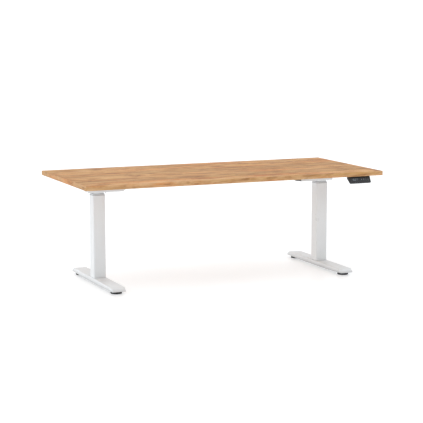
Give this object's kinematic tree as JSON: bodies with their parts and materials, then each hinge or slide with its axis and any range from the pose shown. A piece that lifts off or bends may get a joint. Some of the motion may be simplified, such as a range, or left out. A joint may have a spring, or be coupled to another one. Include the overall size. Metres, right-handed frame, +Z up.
{
  "type": "height adjustable standing desk",
  "caption": "Electric sit-stand desk: oak-decor rectangular top on two white telescopic columns with T feet, black handset under the front edge.",
  "frame": {"origin": "on the floor, midway between the two legs and under the middle of the top", "axes": "+X along the top's length towards the handset's end, -Y towards the user, +Z up"},
  "size_m": [1.8, 0.803, 0.607],
  "materials": {
    "oak_top": "natural oak decor, matt lacquer",
    "oak_edge": "matching oak edging, 2 mm",
    "white_frame": "white powder coat, satin",
    "steel": "bright turned steel, greased",
    "aluminium": "die-cast aluminium, matt",
    "brass": "turned brass",
    "guide_plastic": "pale grey acetal",
    "black_plastic": "black moulded plastic, fine grain",
    "key_plastic": "dark grey moulded plastic",
    "window": "smoked display window, gloss",
    "pad_rubber": "black rubber-faced plastic",
    "lead_jacket": "black cable jacket"
  },
  "bodies": {
    "base": {"left_foot": "white_frame", "left_outer_tube": "white_frame", "left_outer_collar": "guide_plastic", "left_stand_pipe": "steel", "left_base_nut": "brass", "right_foot": "white_frame", "right_outer_tube": "white_frame", "right_outer_collar": "guide_plastic", "right_stand_pipe": "steel", "right_base_nut": "brass"},
    "top": {"left_inner_tube": "white_frame", "left_head": "white_frame", "left_gearbox": "aluminium", "left_motor": "aluminium", "left_motor_cap": "black_plastic", "left_side_arm": "white_frame", "right_inner_tube": "white_frame", "right_head": "white_frame", "right_gearbox": "aluminium", "right_motor": "aluminium", "right_motor_cap": "black_plastic", "right_side_arm": "white_frame", "front_left_rail": "white_frame", "front_right_rail": "white_frame", "back_left_rail": "white_frame", "back_right_rail": "white_frame", "tabletop_board": "oak_top", "edge_band": "oak_edge", "control_box": "black_plastic", "left_motor_lead": "lead_jacket", "right_motor_lead": "lead_jacket", "handset_lead": "lead_jacket", "handset_case": "black_plastic", "display_window": "window"},
    "left_front_leveller": {"left_front_leveller": "pad_rubber"},
    "left_back_leveller": {"left_back_leveller": "pad_rubber"},
    "left_middle_stage": {"left_middle_tube": "white_frame", "left_middle_collar": "guide_plastic", "left_riser": "steel", "left_carrier_nut": "brass"},
    "left_hollow_spindle": {"left_hollow_screw": "steel"},
    "left_drive_spindle": {"left_drive_screw": "steel", "left_worm_wheel": "brass"},
    "left_worm_shaft": {"left_worm": "steel"},
    "right_front_leveller": {"right_front_leveller": "pad_rubber"},
    "right_back_leveller": {"right_back_leveller": "pad_rubber"},
    "right_middle_stage": {"right_middle_tube": "white_frame", "right_middle_collar": "guide_plastic", "right_riser": "steel", "right_carrier_nut": "brass"},
    "right_hollow_spindle": {"right_hollow_screw": "steel"},
    "right_drive_spindle": {"right_drive_screw": "steel", "right_worm_wheel": "brass"},
    "right_worm_shaft": {"right_worm": "steel"},
    "key_up": {"key_up": "key_plastic"},
    "key_down": {"key_down": "key_plastic"},
    "key_preset_1": {"key_preset_1": "key_plastic"},
    "key_preset_2": {"key_preset_2": "key_plastic"},
    "key_preset_3": {"key_preset_3": "key_plastic"},
    "key_memory": {"key_memory": "key_plastic"}
  },
  "joints": [
    {"name": "desk_lift", "type": "slide", "parent": "base", "child": "top", "axis": [0, 0, 1], "range_m": [0, 0.65]},
    {"name": "left_front_leveller_turn", "type": "hinge", "parent": "base", "child": "left_front_leveller", "pos_m": [-0.7, -0.3, 0.01], "axis": [0, 0, 1], "range_deg": [0, 1800]},
    {"name": "left_back_leveller_turn", "type": "hinge", "parent": "base", "child": "left_back_leveller", "pos_m": [-0.7, 0.3, 0.01], "axis": [0, 0, 1], "range_deg": [0, 1800]},
    {"name": "left_middle_lift", "type": "slide", "parent": "base", "child": "left_middle_stage", "axis": [0, 0, 1], "range_m": [0, 0.325]},
    {"name": "left_hollow_spindle_turn", "type": "hinge", "parent": "left_middle_stage", "child": "left_hollow_spindle", "pos_m": [-0.7, 0, 0.3], "axis": [0, 0, 1], "range_deg": [0, 5860]},
    {"name": "left_drive_spindle_turn", "type": "hinge", "parent": "top", "child": "left_drive_spindle", "pos_m": [-0.7, 0, 0.552], "axis": [0, 0, 1], "range_deg": [0, 5860]},
    {"name": "left_worm_turn", "type": "hinge", "parent": "top", "child": "left_worm_shaft", "pos_m": [-0.7, 0.02, 0.552], "axis": [1, 0, 0], "range_deg": [0, 58600]},
    {"name": "right_front_leveller_turn", "type": "hinge", "parent": "base", "child": "right_front_leveller", "pos_m": [0.7, -0.3, 0.01], "axis": [0, 0, 1], "range_deg": [0, 1800]},
    {"name": "right_back_leveller_turn", "type": "hinge", "parent": "base", "child": "right_back_leveller", "pos_m": [0.7, 0.3, 0.01], "axis": [0, 0, 1], "range_deg": [0, 1800]},
    {"name": "right_middle_lift", "type": "slide", "parent": "base", "child": "right_middle_stage", "axis": [0, 0, 1], "range_m": [0, 0.325]},
    {"name": "right_hollow_spindle_turn", "type": "hinge", "parent": "right_middle_stage", "child": "right_hollow_spindle", "pos_m": [0.7, 0, 0.3], "axis": [0, 0, 1], "range_deg": [0, 5860]},
    {"name": "right_drive_spindle_turn", "type": "hinge", "parent": "top", "child": "right_drive_spindle", "pos_m": [0.7, 0, 0.552], "axis": [0, 0, 1], "range_deg": [0, 5860]},
    {"name": "right_worm_turn", "type": "hinge", "parent": "top", "child": "right_worm_shaft", "pos_m": [0.7, -0.02, 0.552], "axis": [-1, 0, 0], "range_deg": [0, 58600]},
    {"name": "key_up_press", "type": "slide", "parent": "top", "child": "key_up", "axis": [0, 0.888, -0.4597], "range_m": [0, 0.0008], "stiffness_N_per_m": 900},
    {"name": "key_down_press", "type": "slide", "parent": "top", "child": "key_down", "axis": [0, 0.888, -0.4597], "range_m": [0, 0.0008], "stiffness_N_per_m": 900},
    {"name": "key_preset_1_press", "type": "slide", "parent": "top", "child": "key_preset_1", "axis": [0, 0.888, -0.4597], "range_m": [0, 0.0008], "stiffness_N_per_m": 900},
    {"name": "key_preset_2_press", "type": "slide", "parent": "top", "child": "key_preset_2", "axis": [0, 0.888, -0.4597], "range_m": [0, 0.0008], "stiffness_N_per_m": 900},
    {"name": "key_preset_3_press", "type": "slide", "parent": "top", "child": "key_preset_3", "axis": [0, 0.888, -0.4597], "range_m": [0, 0.0008], "stiffness_N_per_m": 900},
    {"name": "key_memory_press", "type": "slide", "parent": "top", "child": "key_memory", "axis": [0, 0.888, -0.4597], "range_m": [0, 0.0008], "stiffness_N_per_m": 900}
  ],
  "couplings": [
    {"joint": "left_middle_lift", "follows": "desk_lift", "ratio": 0.5},
    {"joint": "left_hollow_spindle_turn", "follows": "desk_lift", "rad_per_m": 157.08},
    {"joint": "left_drive_spindle_turn", "follows": "desk_lift", "rad_per_m": 157.08},
    {"joint": "left_worm_turn", "follows": "desk_lift", "rad_per_m": 1570.8},
    {"joint": "right_middle_lift", "follows": "desk_lift", "ratio": 0.5},
    {"joint": "right_hollow_spindle_turn", "follows": "desk_lift", "rad_per_m": 157.08},
    {"joint": "right_drive_spindle_turn", "follows": "desk_lift", "rad_per_m": 157.08},
    {"joint": "right_worm_turn", "follows": "desk_lift", "rad_per_m": 1570.8}
  ]
}
